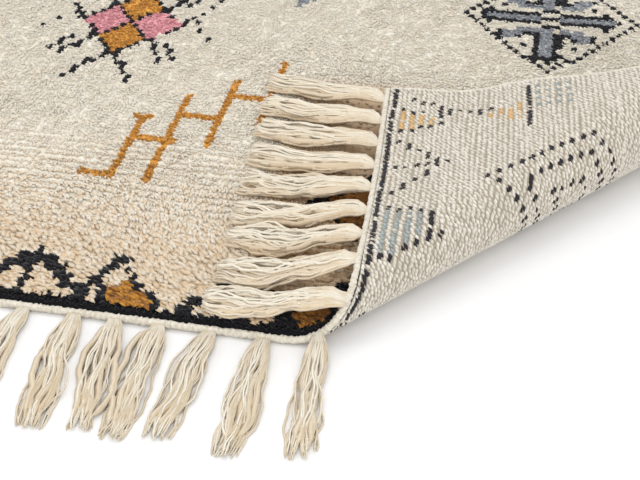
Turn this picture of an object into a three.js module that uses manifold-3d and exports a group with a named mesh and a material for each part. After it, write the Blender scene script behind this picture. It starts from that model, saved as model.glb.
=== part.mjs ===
// A hand-knotted Moroccan wool rug, 1.2 by 1.7 m, that lies on a floor with its front right corner rolled
// over and laid back on the pile, so that the woven back shows there. A cord with tassels edges both ends.
// Millimetres, +Z up. The origin is on the underside, at the middle of the rug as if it lay flat.
// +X runs along the fringed ends and +Y from the front end to the back end.

import * as THREE from "three";
import Module from "manifold-3d";

const wasm = await Module();
wasm.setup();

const { degToRad, lerp, smoothstep } = THREE.MathUtils;

// The cloth, flat. A place on it is u from the left selvedge and v from the front end.
const RUG_WIDTH = 1200;
const RUG_LENGTH = 1700;
const PILE_TOP = 13; // from the woven back to the tips of the pile
const RIM_TOP = 8; // the pile splays outwards at the rim and stands lower there
const RIM_WIDTH = 9;
// The pile's height wanders in lumps: long ones across the rug that sway, and lower ones along it that slant
const PILE_LUMP = 0.8;
const LUMPS_ACROSS = { length: 41, sway: 1.7, swayLength: 87 };
const LUMPS_ALONG = { share: 0.6, length: 33, slantLength: 119 };

// The turned corner. The fold line leaves the front end at FOLD_START and runs back to the right selvedge.
// There the cloth rolls over as a cone, which keeps its lengths. The cone's tip lies on the fold line,
// FOLD_TIP_RUN before its start, so the roll is tight at the front end and opens towards the selvedge.
const FOLD_START = 784;
const FOLD_ANGLE = degToRad(50.5);
const FOLD_TIP_RUN = 714;
// The radius is that of the woven back at the fold's start, and a negative one bends the other way.
const FOLD_STRETCHES = [
  { name: "roll", radius: 24.6, turn: 198 },
  { name: "flap", radius: -595, turn: 15 },
];
// The flap's free selvedge lies in soft waves, which fade out inwards and towards the roll
const FLAP_RIPPLE = { height: 3.5, length: 150, start: 40, width: 160, rollShare: 1.2 };

// The ends: a rolled cord along each, with tassels hitched round it
const CORD_RADIUS = 3.5;
const PIECE_GAP = 0.3;
const TASSEL_COUNT = 29; // at each end
const TASSEL_PITCH = RUG_WIDTH / TASSEL_COUNT;
const TASSEL_LENGTH = 128;
const FLOOR_TASSELS = 20; // of those on the front end, the ones that lie on the floor
const CORD_PART = (FLOOR_TASSELS - 0.5) * TASSEL_PITCH + 9; // where the front end's cord is parted
const ROLL_RUN = 112; // the length of the front end that goes round the roll
const LOCKS = 4; // strands in a tassel
const LOCK_UNEVEN = 0.04; // how far a lock's length strays from its tassel's
const LOCK_BOW = 4; // how far a tassel bends sideways
const LOCK_BOW_TURN = 2.4;
const FLOOR_TASSEL = { lean: 6, uneven: 0.03, rest: 0, fullness: 1, drop: "floorDrop" };
// The tassels on the turned edge lie nearly square to it, fuller, and longer and swept back to the corner
const PILE_TASSEL = {
  heading: 178,
  sweep: -12,
  lean: 1.5,
  shortest: 0.92,
  longest: 1.08,
  rest: PILE_TOP + 2.6, // clear of the lumps
  fullness: 1.3,
  drop: "pileDrop",
};
// Sections of a lock from its root to its tip: the share of its length that it has come, its own width
// and height, the distance to the next lock of the tassel, and the share of its drop that it has made,
// which is quick to the floor and slow to the pile
const LOCK_SECTIONS = [
  { along: 0, width: 2.6, height: 2.6, apart: 3.4, floorDrop: 0, pileDrop: 0 },
  { along: 0.1, width: 3.4, height: 5, apart: 4.2, floorDrop: 0.22, pileDrop: 0.1 },
  { along: 0.38, width: 4.6, height: 6, apart: 5.4, floorDrop: 1, pileDrop: 0.5 },
  { along: 0.72, width: 4.8, height: 5.5, apart: 5.8, floorDrop: 1, pileDrop: 0.88 },
  { along: 1, width: 2.2, height: 3, apart: 6.2, floorDrop: 1, pileDrop: 1 },
];

// How finely the cloth and the cords are divided
const COLUMNS = 20;
const FRONT_ROWS = 12; // from the front end to where the fold line meets the selvedge
const BACK_ROWS = 15;
const ROLL_STEPS = 14;
const FLAP_STEPS = 6;
const CORD_SIDES = 6;
const CORD_STEPS = { front: 7, foldStart: 4, roll: 9, flap: 7, back: 8 };
const FOLD_LEAD = 10; // the cord is divided more finely from here to the fold line

const tip = new THREE.Vector2(
  FOLD_START - FOLD_TIP_RUN * Math.cos(FOLD_ANGLE),
  -FOLD_TIP_RUN * Math.sin(FOLD_ANGLE),
);

// A number from -1 to 1 that is always the same for the same index and use
function uneven(index, use) {
  const noise = Math.sin(index * 12.9898 + use * 78.233) * 43758.5453;
  return 2 * (noise - Math.floor(noise)) - 1;
}

// The cone as stretches of steady bend. Each starts with the direction of the cloth from the tip (out)
// and the way that its woven back faces (back), and turns both about its axis.
function foldStretches() {
  const stretches = [];
  let from = 0;
  let out = new THREE.Vector3(Math.cos(FOLD_ANGLE), Math.sin(FOLD_ANGLE), 0);
  let back = new THREE.Vector3(0, 0, -1);
  for (const { name, radius, turn } of FOLD_STRETCHES) {
    const curl = -FOLD_TIP_RUN / radius;
    const axis = back.clone().addScaledVector(out, curl);
    const rate = axis.length();
    axis.normalize();
    const spread = degToRad(turn) / rate;
    stretches.push({ name, from, spread, out, back, axis, rate });
    const whole = new THREE.Quaternion().setFromAxisAngle(axis, spread * rate);
    out = out.clone().applyQuaternion(whole);
    back = back.clone().applyQuaternion(whole);
    from += spread;
  }
  return stretches;
}

const stretches = foldStretches();
const roll = stretches[0];

// The angle of a place past the fold line, seen from the cone's tip
function anglePastFold(u, v) {
  return FOLD_ANGLE - Math.atan2(v - tip.y, u - tip.x);
}

// How far the flap's waves lift its cloth at a place
function ripple(u, v, angle) {
  const { height, length, start, width, rollShare } = FLAP_RIPPLE;
  const pastRoll = smoothstep(angle, roll.spread, roll.spread * (1 + rollShare));
  const selvedge = smoothstep(u, RUG_WIDTH - width, RUG_WIDTH);
  return pastRoll * selvedge * height * Math.sin((2 * Math.PI * (v - start)) / length);
}

// Where a place on the cloth lies, at a height above its woven back towards the pile
function place(u, v, height) {
  const angle = anglePastFold(u, v);
  if (angle <= 0) {
    return new THREE.Vector3(u - RUG_WIDTH / 2, v - RUG_LENGTH / 2, height);
  }
  const stretch = stretches.findLast((one) => angle >= one.from);
  const turn = (angle - stretch.from) * stretch.rate;
  const turned = new THREE.Quaternion().setFromAxisAngle(stretch.axis, turn);
  const out = stretch.out.clone().applyQuaternion(turned);
  const back = stretch.back.clone().applyQuaternion(turned);
  const reach = Math.hypot(u - tip.x, v - tip.y);
  return new THREE.Vector3(tip.x - RUG_WIDTH / 2, tip.y - RUG_LENGTH / 2, 0)
    .addScaledVector(out, reach)
    .addScaledVector(back, -height - ripple(u, v, angle));
}

// The height of the pile: low at the rim, and a little lumpy elsewhere
function pileTop(u, v) {
  const inside = Math.min(u, RUG_WIDTH - u, v, RUG_LENGTH - v);
  const full = smoothstep(inside, -RIM_WIDTH / 2, RIM_WIDTH);
  const sway = LUMPS_ACROSS.sway * Math.sin(v / LUMPS_ACROSS.swayLength);
  const across = Math.sin(u / LUMPS_ACROSS.length + sway);
  const along = LUMPS_ALONG.share * Math.sin(v / LUMPS_ALONG.length + u / LUMPS_ALONG.slantLength);
  return RIM_TOP + (PILE_TOP - RIM_TOP + PILE_LUMP * (across + along)) * full;
}

// A closed mesh from points and triangles
function geometryOf(points, triangles) {
  const geometry = new THREE.BufferGeometry();
  const numbers = points.flatMap((point) => point.toArray());
  geometry.setAttribute("position", new THREE.Float32BufferAttribute(numbers, 3));
  geometry.setIndex(triangles.flat());
  geometry.computeVertexNormals();
  return geometry;
}

function evenStops(from, to, steps) {
  return Array.from({ length: steps + 1 }, (_, i) => from + ((to - from) * i) / steps);
}

// Shares from 0 to 1 with a narrow first and last step as wide as the rim
function sharesOf(steps, length) {
  const rim = Math.min(RIM_WIDTH / length, 0.5 / steps);
  return Array.from({ length: steps + 1 }, (_, i) => {
    if (i === 0) {
      return 0;
    }
    if (i === steps) {
      return 1;
    }
    return rim + ((i - 1) / (steps - 2)) * (1 - 2 * rim);
  });
}

// The stretch of a line from the cone's tip that lies on the cloth, from the front end to the right selvedge
function rayAcross(angle) {
  const heading = FOLD_ANGLE - angle;
  const start = -tip.y / Math.sin(heading);
  const end = (RUG_WIDTH - tip.x) / Math.cos(heading);
  return { heading, start, end };
}

// Places on the cloth and the triangles between them: rows across the part that lies flat, and then lines
// from the cone's tip across the roll and the flap, which close in on the turned corner
function clothNet() {
  const places = [];
  const triangles = [];
  const add = (u, v) => places.push({ u, v }) - 1;
  const quad = (a, b, c, d) => triangles.push([a, b, c], [a, c, d]);

  const foldRay = rayAcross(0);
  const foldShares = sharesOf(FRONT_ROWS, foldRay.end - foldRay.start);
  const onRay = (ray, share) => {
    const reach = ray.start + (ray.end - ray.start) * share;
    return [tip.x + reach * Math.cos(ray.heading), tip.y + reach * Math.sin(ray.heading)];
  };
  const foldEnd = onRay(foldRay, 1)[1];
  const backShares = sharesOf(BACK_ROWS, RUG_LENGTH - foldEnd).slice(1);
  const rowEnds = [
    ...foldShares.map((share) => onRay(foldRay, share)),
    ...backShares.map((share) => [RUG_WIDTH, foldEnd + (RUG_LENGTH - foldEnd) * share]),
  ];
  const rows = rowEnds.map(([end, v]) => sharesOf(COLUMNS, end).map((share) => add(end * share, v)));
  for (let r = 0; r + 1 < rows.length; r += 1) {
    for (let c = 0; c < COLUMNS; c += 1) {
      quad(rows[r][c], rows[r][c + 1], rows[r + 1][c + 1], rows[r + 1][c]);
    }
  }

  const cornerAngle = anglePastFold(RUG_WIDTH, 0);
  const flapSpread = cornerAngle - roll.spread;
  const rollAngles = evenStops(0, roll.spread, ROLL_STEPS).slice(1);
  const flapAngles = evenStops(roll.spread, roll.spread + flapSpread, FLAP_STEPS).slice(1, -1);
  const angles = [...rollAngles, ...flapAngles];
  const rays = angles.map((angle) => {
    const ray = rayAcross(angle);
    return sharesOf(FRONT_ROWS, ray.end - ray.start).map((share) => add(...onRay(ray, share)));
  });
  const foldLine = rows.slice(0, FRONT_ROWS + 1).map((row) => row[COLUMNS]);
  const lines = [foldLine, ...rays];
  for (let k = 0; k + 1 < lines.length; k += 1) {
    for (let j = 0; j < FRONT_ROWS; j += 1) {
      quad(lines[k][j], lines[k + 1][j], lines[k + 1][j + 1], lines[k][j + 1]);
    }
  }
  const corner = add(RUG_WIDTH, 0);
  const last = lines.at(-1);
  for (let j = 0; j < FRONT_ROWS; j += 1) {
    triangles.push([last[j], corner, last[j + 1]]);
  }
  return { places, triangles };
}

// The rug's body: the pile above, the woven back below, and a rim along the edges of the net
function rugBody() {
  const { places, triangles } = clothNet();
  const count = places.length;
  const pile = places.map(({ u, v }) => place(u, v, pileTop(u, v)));
  const back = places.map(({ u, v }) => place(u, v, 0));
  const faces = [];
  const open = new Map();
  for (const [a, b, c] of triangles) {
    faces.push([a, b, c], [a + count, c + count, b + count]);
    for (const [from, to] of [[a, b], [b, c], [c, a]]) {
      if (!open.delete(`${to},${from}`)) {
        open.set(`${from},${to}`, [from, to]);
      }
    }
  }
  for (const [from, to] of open.values()) {
    faces.push([to, from, from + count], [to, from + count, to + count]);
  }
  return geometryOf([...pile, ...back], faces);
}

// A solid through rings of points, closed at both ends
function loft(rings) {
  const sides = rings[0].length;
  const faces = [];
  for (let r = 0; r + 1 < rings.length; r += 1) {
    for (let s = 0; s < sides; s += 1) {
      const a = r * sides + s;
      const b = r * sides + ((s + 1) % sides);
      faces.push([a, b, b + sides], [a, b + sides, a + sides]);
    }
  }
  const end = (rings.length - 1) * sides;
  for (let s = 1; s + 1 < sides; s += 1) {
    faces.push([0, s + 1, s], [end, end + s, end + s + 1]);
  }
  const vertProperties = Float32Array.from(rings.flat().flatMap((point) => point.toArray()));
  const triVerts = Uint32Array.from(faces.flat());
  return new wasm.Manifold(new wasm.Mesh({ numProp: 3, vertProperties, triVerts }));
}

// The two ends of the cloth: the v of the cord's middle line, and which way along v leads off the cloth
const FRONT_END = { cordLine: -PIECE_GAP - CORD_RADIUS, outwards: -1 };
const BACK_END = { cordLine: RUG_LENGTH + PIECE_GAP + CORD_RADIUS, outwards: 1 };

// A stretch of cord along an end, with a flat side down
function cord(end, stops) {
  const corner = CORD_RADIUS / Math.cos(Math.PI / CORD_SIDES);
  const rings = stops.map((u) =>
    Array.from({ length: CORD_SIDES }, (_, i) => {
      const around = (2 * Math.PI * i) / CORD_SIDES;
      const v = end.cordLine + CORD_RADIUS * Math.cos(around);
      return place(u, v, CORD_RADIUS + corner * Math.sin(around));
    }),
  );
  return loft(rings);
}

// One tassel as locks that leave the cord side by side, fall to what they lie on and splay towards the tip
function tassel(end, index, heading, length, kind) {
  const middle = (index + 0.5) * TASSEL_PITCH;
  const root = place(middle, end.cordLine, CORD_RADIUS);
  const rootFloor = root.z - CORD_RADIUS / 3;
  const ahead = new THREE.Vector3(Math.cos(heading), Math.sin(heading), 0);
  const left = new THREE.Vector3(-ahead.y, ahead.x, 0);
  const alongCord = place(middle + 1, end.cordLine, CORD_RADIUS).sub(root);
  const aside = left.clone().multiplyScalar(Math.sign(left.dot(alongCord)));
  const bow = LOCK_BOW * uneven(index, 3 + end.outwards);
  const locks = [];
  for (let lock = 0; lock < LOCKS; lock += 1) {
    const rank = lock - (LOCKS - 1) / 2;
    const own = length * (1 + LOCK_UNEVEN * uneven(index * LOCKS + lock, 5 + end.outwards));
    const rings = LOCK_SECTIONS.map((section) => {
      const { along } = section;
      const apart = section.apart * kind.fullness;
      const width = section.width * kind.fullness;
      const height = section.height * kind.fullness;
      const foot = root.clone();
      if (along === 0) {
        foot.copy(place(middle + rank * apart, end.cordLine, CORD_RADIUS));
        foot.z -= CORD_RADIUS / 3;
      } else {
        const sideways = rank * apart + bow * Math.sin(LOCK_BOW_TURN * along) * along;
        foot.addScaledVector(ahead, own * along).addScaledVector(aside, sideways);
        foot.z = lerp(rootFloor, kind.rest, section[kind.drop]);
      }
      const leftFoot = foot.clone().addScaledVector(left, width / 2);
      const rightFoot = foot.clone().addScaledVector(left, -width / 2);
      const crest = foot.clone().setZ(foot.z + height);
      return [leftFoot, crest, rightFoot];
    });
    locks.push(loft(rings));
  }
  return locks;
}

// Cord and tassels as one solid
function fringe(cordSolid, tassels) {
  const joined = tassels.flat().reduce((whole, lock) => whole.add(lock), cordSolid);
  const mesh = joined.getMesh();
  const geometry = new THREE.BufferGeometry();
  geometry.setAttribute("position", new THREE.BufferAttribute(mesh.vertProperties, 3));
  geometry.setIndex(new THREE.BufferAttribute(mesh.triVerts, 1));
  geometry.computeVertexNormals();
  return geometry;
}

// A tassel on the floor hangs straight out from its end, give or take a few degrees
function floorTassel(end, index) {
  const lean = degToRad(FLOOR_TASSEL.lean * uneven(index, 1));
  const heading = end.outwards * (Math.PI / 2 + lean);
  const length = TASSEL_LENGTH * (1 + FLOOR_TASSEL.uneven * uneven(index, 2));
  return tassel(end, index, heading, length, FLOOR_TASSEL);
}

// A tassel on the turned edge falls to the pile
function pileTassel(index) {
  const { heading, sweep, lean, shortest, longest } = PILE_TASSEL;
  const share = (index - FLOOR_TASSELS) / (TASSEL_COUNT - 1 - FLOOR_TASSELS);
  const own = degToRad(heading + sweep * share + lean * uneven(index, 1));
  return tassel(FRONT_END, index, own, TASSEL_LENGTH * lerp(shortest, longest, share), PILE_TASSEL);
}

function frontFringe() {
  const stops = [
    ...evenStops(0, FOLD_START - FOLD_LEAD, CORD_STEPS.front),
    ...evenStops(FOLD_START, CORD_PART, CORD_STEPS.foldStart),
  ];
  const tassels = Array.from({ length: FLOOR_TASSELS }, (_, i) => floorTassel(FRONT_END, i));
  return fringe(cord(FRONT_END, stops), tassels);
}

function turnedFringe() {
  const rollEnd = FOLD_START + ROLL_RUN;
  const stops = [
    ...evenStops(CORD_PART + PIECE_GAP, rollEnd, CORD_STEPS.roll),
    ...evenStops(rollEnd, RUG_WIDTH, CORD_STEPS.flap).slice(1),
  ];
  const count = TASSEL_COUNT - FLOOR_TASSELS;
  const tassels = Array.from({ length: count }, (_, i) => pileTassel(FLOOR_TASSELS + i));
  return fringe(cord(FRONT_END, stops), tassels);
}

function backFringe() {
  const tassels = Array.from({ length: TASSEL_COUNT }, (_, i) => floorTassel(BACK_END, i));
  return fringe(cord(BACK_END, evenStops(0, RUG_WIDTH, CORD_STEPS.back)), tassels);
}

const wool = () => new THREE.MeshStandardMaterial({ color: 0xd8cfba, roughness: 0.95, metalness: 0 });
const cotton = () => new THREE.MeshStandardMaterial({ color: 0xe6dac2, roughness: 0.9, metalness: 0 });

function piece(name, geometry, material) {
  const mesh = new THREE.Mesh(geometry, material);
  mesh.name = name;
  return mesh;
}

const group = new THREE.Group();
group.add(piece("rug_body", rugBody(), wool()));
group.add(piece("fringe_front", frontFringe(), cotton()));
group.add(piece("fringe_turned", turnedFringe(), cotton()));
group.add(piece("fringe_back", backFringe(), cotton()));

export default group;
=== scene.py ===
"""A hand-knotted Moroccan wool rug on a floor, its front right corner rolled over so that its back shows."""

import math

import bpy
import numpy as np
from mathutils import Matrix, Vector


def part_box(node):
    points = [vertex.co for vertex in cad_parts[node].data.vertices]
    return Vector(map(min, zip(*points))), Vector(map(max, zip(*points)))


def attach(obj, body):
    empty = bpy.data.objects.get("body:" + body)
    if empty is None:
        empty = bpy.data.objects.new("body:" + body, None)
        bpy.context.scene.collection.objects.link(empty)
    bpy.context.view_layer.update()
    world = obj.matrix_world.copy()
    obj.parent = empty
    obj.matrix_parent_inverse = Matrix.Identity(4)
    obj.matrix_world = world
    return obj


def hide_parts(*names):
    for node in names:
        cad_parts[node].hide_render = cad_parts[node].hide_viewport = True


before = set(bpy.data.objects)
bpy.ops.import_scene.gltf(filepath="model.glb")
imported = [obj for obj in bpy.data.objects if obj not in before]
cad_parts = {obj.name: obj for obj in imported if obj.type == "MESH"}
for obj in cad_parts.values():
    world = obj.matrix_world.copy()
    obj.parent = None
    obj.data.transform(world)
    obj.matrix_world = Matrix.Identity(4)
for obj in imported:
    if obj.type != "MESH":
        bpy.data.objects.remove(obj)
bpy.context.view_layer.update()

# Sizes are in millimetres. A place on the cloth is u from the left selvedge and v from the front end.
MM = 0.001
body_low, body_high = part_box("rug_body")
RUG_WIDTH = round((body_high.x - body_low.x) / MM)
RUG_LENGTH = round((body_high.y - body_low.y) / MM)
PILE_TOP = 13.0
RIM_TOP = 8.0
RIM_WIDTH = 9.0

# The turned corner is a cone. Its tip lies on the fold line, before the line's start at the front end.
FOLD_START = 784.0
FOLD_ANGLE = math.radians(50.5)
FOLD_TIP_RUN = 714.0
ROLL = {"radius": 24.6, "turn": 198.0}
FLAP = {"radius": -595.0, "turn": 15.0}
TIP_U = FOLD_START - FOLD_TIP_RUN * math.cos(FOLD_ANGLE)
TIP_V = -FOLD_TIP_RUN * math.sin(FOLD_ANGLE)
# Soft waves along the flap's selvedge, which have their full height at so many times the roll's spread
RIPPLE = {"height": 3.5, "length": 150.0, "start": 40.0, "width": 160.0, "full": 2.2}

# Knots, cords and tassels
TASSELS = 29
KNOTS_PER_TASSEL = 6
TASSEL_PITCH = RUG_WIDTH / TASSELS
COLUMNS = TASSELS * KNOTS_PER_TASSEL
ROWS = 180
KNOT_WIDTH = RUG_WIDTH / COLUMNS
ROW_PITCH = RUG_LENGTH / ROWS
CORD_RADIUS = 3.5
CORD_GAP = 0.3
FRONT_CORD = -CORD_GAP - CORD_RADIUS
BACK_CORD = RUG_LENGTH + CORD_GAP + CORD_RADIUS
FLOOR_TASSELS = 20
CORD_PART = (FLOOR_TASSELS - 0.5) * TASSEL_PITCH + 9.0  # where the front cord is parted, near the fold
TASSEL_LENGTH = 128.0
PILE_REST = PILE_TOP + 1.0

rng = np.random.default_rng(17)


# The shape of the cloth

def smoothstep(x, low, high):
    share = np.clip((x - low) / (high - low), 0.0, 1.0)
    return share * share * (3.0 - 2.0 * share)


def turned(vector, axis, angle):
    """A vector turned about a unit axis by each of an array of angles."""
    angle = np.asarray(angle)[..., None]
    along = axis * (vector @ axis)
    aside = np.cross(axis, vector)
    return along + (vector - along) * np.cos(angle) + aside * np.sin(angle)


def unit(vectors):
    return vectors / np.maximum(np.linalg.norm(vectors, axis=-1, keepdims=True), 1e-9)


def fold_stretches():
    """The cone as stretches of steady bend, each with the ways out from the tip and out of the woven back."""
    stretches = []
    start = 0.0
    out = np.array([math.cos(FOLD_ANGLE), math.sin(FOLD_ANGLE), 0.0])
    back = np.array([0.0, 0.0, -1.0])
    for bend in (ROLL, FLAP):
        axis = back - out * FOLD_TIP_RUN / bend["radius"]
        rate = np.linalg.norm(axis)
        axis = axis / rate
        spread = math.radians(bend["turn"]) / rate
        stretches.append({
            "start": start, "spread": spread, "out": out, "back": back, "axis": axis, "rate": rate,
        })
        out = turned(out, axis, spread * rate)
        back = turned(back, axis, spread * rate)
        start += spread
    return stretches


STRETCHES = fold_stretches()
ROLL_SPREAD = STRETCHES[0]["spread"]


def angle_past_fold(u, v):
    return FOLD_ANGLE - np.arctan2(v - TIP_V, u - TIP_U)


def ripple(u, v, angle):
    """How far the flap's soft waves lift its cloth."""
    share = smoothstep(angle, ROLL_SPREAD, RIPPLE["full"] * ROLL_SPREAD)
    selvedge = smoothstep(u, RUG_WIDTH - RIPPLE["width"], RUG_WIDTH)
    wave = np.sin(2.0 * np.pi * (v - RIPPLE["start"]) / RIPPLE["length"])
    return share * selvedge * RIPPLE["height"] * wave


def place(u, v, height):
    """Where places on the cloth lie, at heights above the woven back towards the pile."""
    u, v, height = (np.asarray(a, float) for a in np.broadcast_arrays(u, v, height))
    angle = angle_past_fold(u, v)
    reach = np.hypot(u - TIP_U, v - TIP_V)
    lift = height + ripple(u, v, angle)
    placed = np.stack([u - RUG_WIDTH / 2, v - RUG_LENGTH / 2, height], -1)
    tip = np.array([TIP_U - RUG_WIDTH / 2, TIP_V - RUG_LENGTH / 2, 0.0])
    for stretch in STRETCHES:
        here = angle > stretch["start"]
        turn = (angle[here] - stretch["start"]) * stretch["rate"]
        out = turned(stretch["out"], stretch["axis"], turn)
        back = turned(stretch["back"], stretch["axis"], turn)
        placed[here] = tip + out * reach[here, None] - back * lift[here, None]
    return placed


# Two crossing waves: the first runs across and sways along the cloth, and the second has its own weight.
# Lengths are for a radian of a wave.
LUMPS = {"across": 41.0, "sway": 1.7, "sway_length": 87.0, "weight": 0.6, "along": 33.0, "aslant": 119.0}
SWIRLS = {"across": 67.0, "sway": 1.3, "sway_length": 58.0, "weight": 0.7, "along": 47.0, "aslant": -143.0}
LUMP_HEIGHT = 0.8


def crossing_waves(u, v, across, sway, sway_length, weight, along, aslant):
    return np.sin(u / across + sway * np.sin(v / sway_length)) + weight * np.sin(v / along + u / aslant)


def pile_top(u, v):
    inside = np.minimum(np.minimum(u, RUG_WIDTH - u), np.minimum(v, RUG_LENGTH - v))
    full = smoothstep(inside, -RIM_WIDTH / 2, RIM_WIDTH)
    return RIM_TOP + (PILE_TOP - RIM_TOP + LUMP_HEIGHT * crossing_waves(u, v, **LUMPS)) * full


# The knot chart: a yarn for each knot, drawn in columns from the left selvedge and rows from the front end

CREAM, CHARCOAL, OCHRE, PINK, BLUE = range(5)
chart = np.zeros((ROWS, COLUMNS), int)
CHART_ROW, CHART_COLUMN = np.mgrid[0:ROWS, 0:COLUMNS] + 0.5


def knots(yarn, columns, rows):
    """Ties single knots, leaving out those that fall off the chart."""
    column = np.floor(np.atleast_1d(columns)).astype(int)
    row = np.floor(np.atleast_1d(rows)).astype(int)
    inside = (column >= 0) & (column < COLUMNS) & (row >= 0) & (row < ROWS)
    chart[row[inside], column[inside]] = yarn


def line(yarn, *corners, wide=1, step=1):
    """A line of knots through corners (column, row). A step of 2 leaves out every other knot."""
    for (column, row), (next_column, next_row) in zip(corners, corners[1:]):
        count = math.ceil(max(abs(next_column - column), abs(next_row - row))) + 1
        columns = np.linspace(column, next_column, count)[::step]
        rows = np.linspace(row, next_row, count)[::step]
        for k in range(wide):
            knots(yarn, columns + k, rows)


def bar(yarn, column, row, half):
    """A bar of knots along a row, to both sides of a column."""
    line(yarn, (column - half, row), (column + half, row))


def moved(corners, column, row, side=1, end=1):
    """Corners moved to a figure's middle, and mirrored where side or end is -1."""
    return [(column + side * across, row + end * up) for across, up in corners]


def lozenge(yarn, column, row, half_width, half_height):
    reach = np.abs(CHART_COLUMN - column) / half_width + np.abs(CHART_ROW - row) / half_height
    chart[reach <= 1.0] = yarn


def lozenge_line(yarn, column, row, half_width, half_height, step=1):
    """The outline of a lozenge in single knots, which stand apart as dots where the line slants."""
    left, top, right, foot = (-half_width, 0.0), (0.0, half_height), (half_width, 0.0), (0.0, -half_height)
    line(yarn, *moved([left, top, right, foot, left], column, row), step=step)


# The quartered lozenge. Its edge and the cross in it are lines in shares of its half size.
QUARTERED_HALF_WIDTH = 8.8
QUARTERED_HALF_HEIGHT = 7.8
QUARTERED_EDGE = (0.93, 1.03)
QUARTERED_CROSS = 0.055
# Its arms, in columns and rows from its middle towards each of its four corners
CORNER_ARMS = [
    [(0.8, 8.0), (2.2, 10.4)],
    [(2.8, 10.4), (5.0, 13.8)],
    [(4.0, 3.6), (5.6, 5.0)],
    [(6.0, 5.8), (8.2, 8.9)],
    [(8.0, 5.4), (9.9, 8.2)],
]
# Those at its left and right tips: a stem and dots that rise away from it, and dots that fall away
TIP_STEM = [(8.6, 0.5), (9.8, 2.4)]
TIP_RISING_DOTS = [(10.8, 3.4), (12.8, 7.0)]
TIP_FALLING_DOTS = [(10.4, 0.6), (13.6, -3.2)]


def quartered_lozenge(column, row):
    """Four small lozenges in one, with hooked arms at its tips."""
    across = (CHART_COLUMN - column) / QUARTERED_HALF_WIDTH
    up = (CHART_ROW - row) / QUARTERED_HALF_HEIGHT
    rising, falling = up + across, up - across
    outer = np.maximum(np.abs(rising), np.abs(falling))
    inner = np.minimum(np.abs(rising), np.abs(falling))
    inside = outer <= QUARTERED_EDGE[1]
    sides = np.sign(rising) != np.sign(falling)
    chart[inside & sides] = PINK
    chart[inside & ~sides] = OCHRE
    chart[inside & ((outer > QUARTERED_EDGE[0]) | (inner < QUARTERED_CROSS))] = CHARCOAL
    for side in (-1, 1):
        for end in (-1, 1):
            for corners in CORNER_ARMS:
                line(CHARCOAL, *moved(corners, column, row, side, end))
        line(CHARCOAL, *moved(TIP_STEM, column, row, side))
        line(CHARCOAL, *moved(TIP_RISING_DOTS, column, row, side), step=2)
        line(CHARCOAL, *moved(TIP_FALLING_DOTS, column, row, side), step=2)


# Strokes of the ladder: column, and rows up from its foot. Its rungs: first column, row and last column
LADDER_STROKES = [(0.0, 0.0, 10.8), (5.0, 0.0, 15.8), (10.6, 6.4, 20.0), (17.0, 11.6, 24.2)]
LADDER_RUNGS = [(-4.2, -0.4, 0.0), (0.4, 6.6, 5.2), (5.4, 11.4, 10.2), (11.0, 17.0, 16.8), (-1.0, 10.8, 1.0)]


def ladder(column, row, side):
    """Ochre strokes that climb in steps to one side, joined by short rungs."""
    for across, low, high in LADDER_STROKES:
        line(OCHRE, *moved([(across, low), (across, high)], column, row, side))
    for start, height, end in LADDER_RUNGS:
        line(OCHRE, *moved([(start, height), (end, height)], column, row, side))


# The crossed lozenge: half its size, the gap to its inner edge, and half the bars through its middle
CROSSED_HALF_WIDTH = 13.8
CROSSED_HALF_HEIGHT = 13.2
CROSSED_EDGE_GAP = 2.6
CROSS_BARS = [(BLUE, 10.0), (CHARCOAL, 1.0)]
# Its steps and bars in each quarter, in columns and rows from its middle
CROSS_STEPS = {
    BLUE: [
        [(0.5, 3.0), (0.5, 9.4)], [(1.8, 3.0), (5.0, 3.0)],
        [(3.8, 4.0), (6.4, 4.0)], [(5.0, 5.0), (7.0, 5.0)],
    ],
    CHARCOAL: [
        [(4.6, 5.0), (4.6, 5.0)], [(7.4, 5.0), (7.4, 5.0)], [(1.4, 4.0), (3.4, 4.0)],
        [(0.0, 10.4), (1.4, 10.4)], [(2.0, 1.4), (10.6, 1.4)], [(1.4, 3.6), (1.4, 10.0)],
        [(2.3, 4.6), (2.3, 7.0)], [(0.0, 1.8), (1.2, 1.8)],
    ],
}


def crossed_lozenge(column, row):
    """A lozenge with a double dotted edge round a cross of blue-grey bars and steps with charcoal edges."""
    half_width, half_height = CROSSED_HALF_WIDTH, CROSSED_HALF_HEIGHT
    lozenge_line(CHARCOAL, column, row, half_width, half_height)
    half_width, half_height = half_width - CROSSED_EDGE_GAP, half_height - CROSSED_EDGE_GAP
    lozenge_line(CHARCOAL, column, row, half_width, half_height, step=2)
    for side in (-1, 1):
        for end in (-1, 1):
            for yarn, steps in CROSS_STEPS.items():
                for corners in steps:
                    line(yarn, *moved(corners, column, row, side, end))
    for yarn, half in CROSS_BARS:
        bar(yarn, column, row, half)


# The border's filled half lozenges: middle column, yarn, half its width at each row from the end, how many
# columns it leans to the right with each row, and the side on which it has a chevron, with 0 for none
BORDER_FILLED = [
    (164.0, OCHRE, (2.0, 1.6, 1.0, 0.6), 0.0, 1),
    (134.6, BLUE, (4.6, 4.0, 3.0, 2.2), 0.3, 0),
    (115.0, OCHRE, (3.0, 2.4, 1.4, 0.6), 0.0, 1),
    (93.2, OCHRE, (2.4, 1.8, 0.9), -0.65, -1),
    (67.0, BLUE, (4.2, 3.5, 2.7, 1.8), -0.65, -1),
    (42.0, OCHRE, (2.8, 2.2, 1.4, 0.8), -0.65, -1),
    (17.0, BLUE, (4.2, 3.5, 2.7, 1.8), -0.65, -1),
]
# Columns from its middle to its top knot, on the side away from the chevron. Without a chevron it has a bar
# there, of this half length, and a knot to the left on the bar.
FILLED_TOP = 0.4
FILLED_BAR = 1.6
FILLED_BAR_KNOT = -0.6
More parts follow.
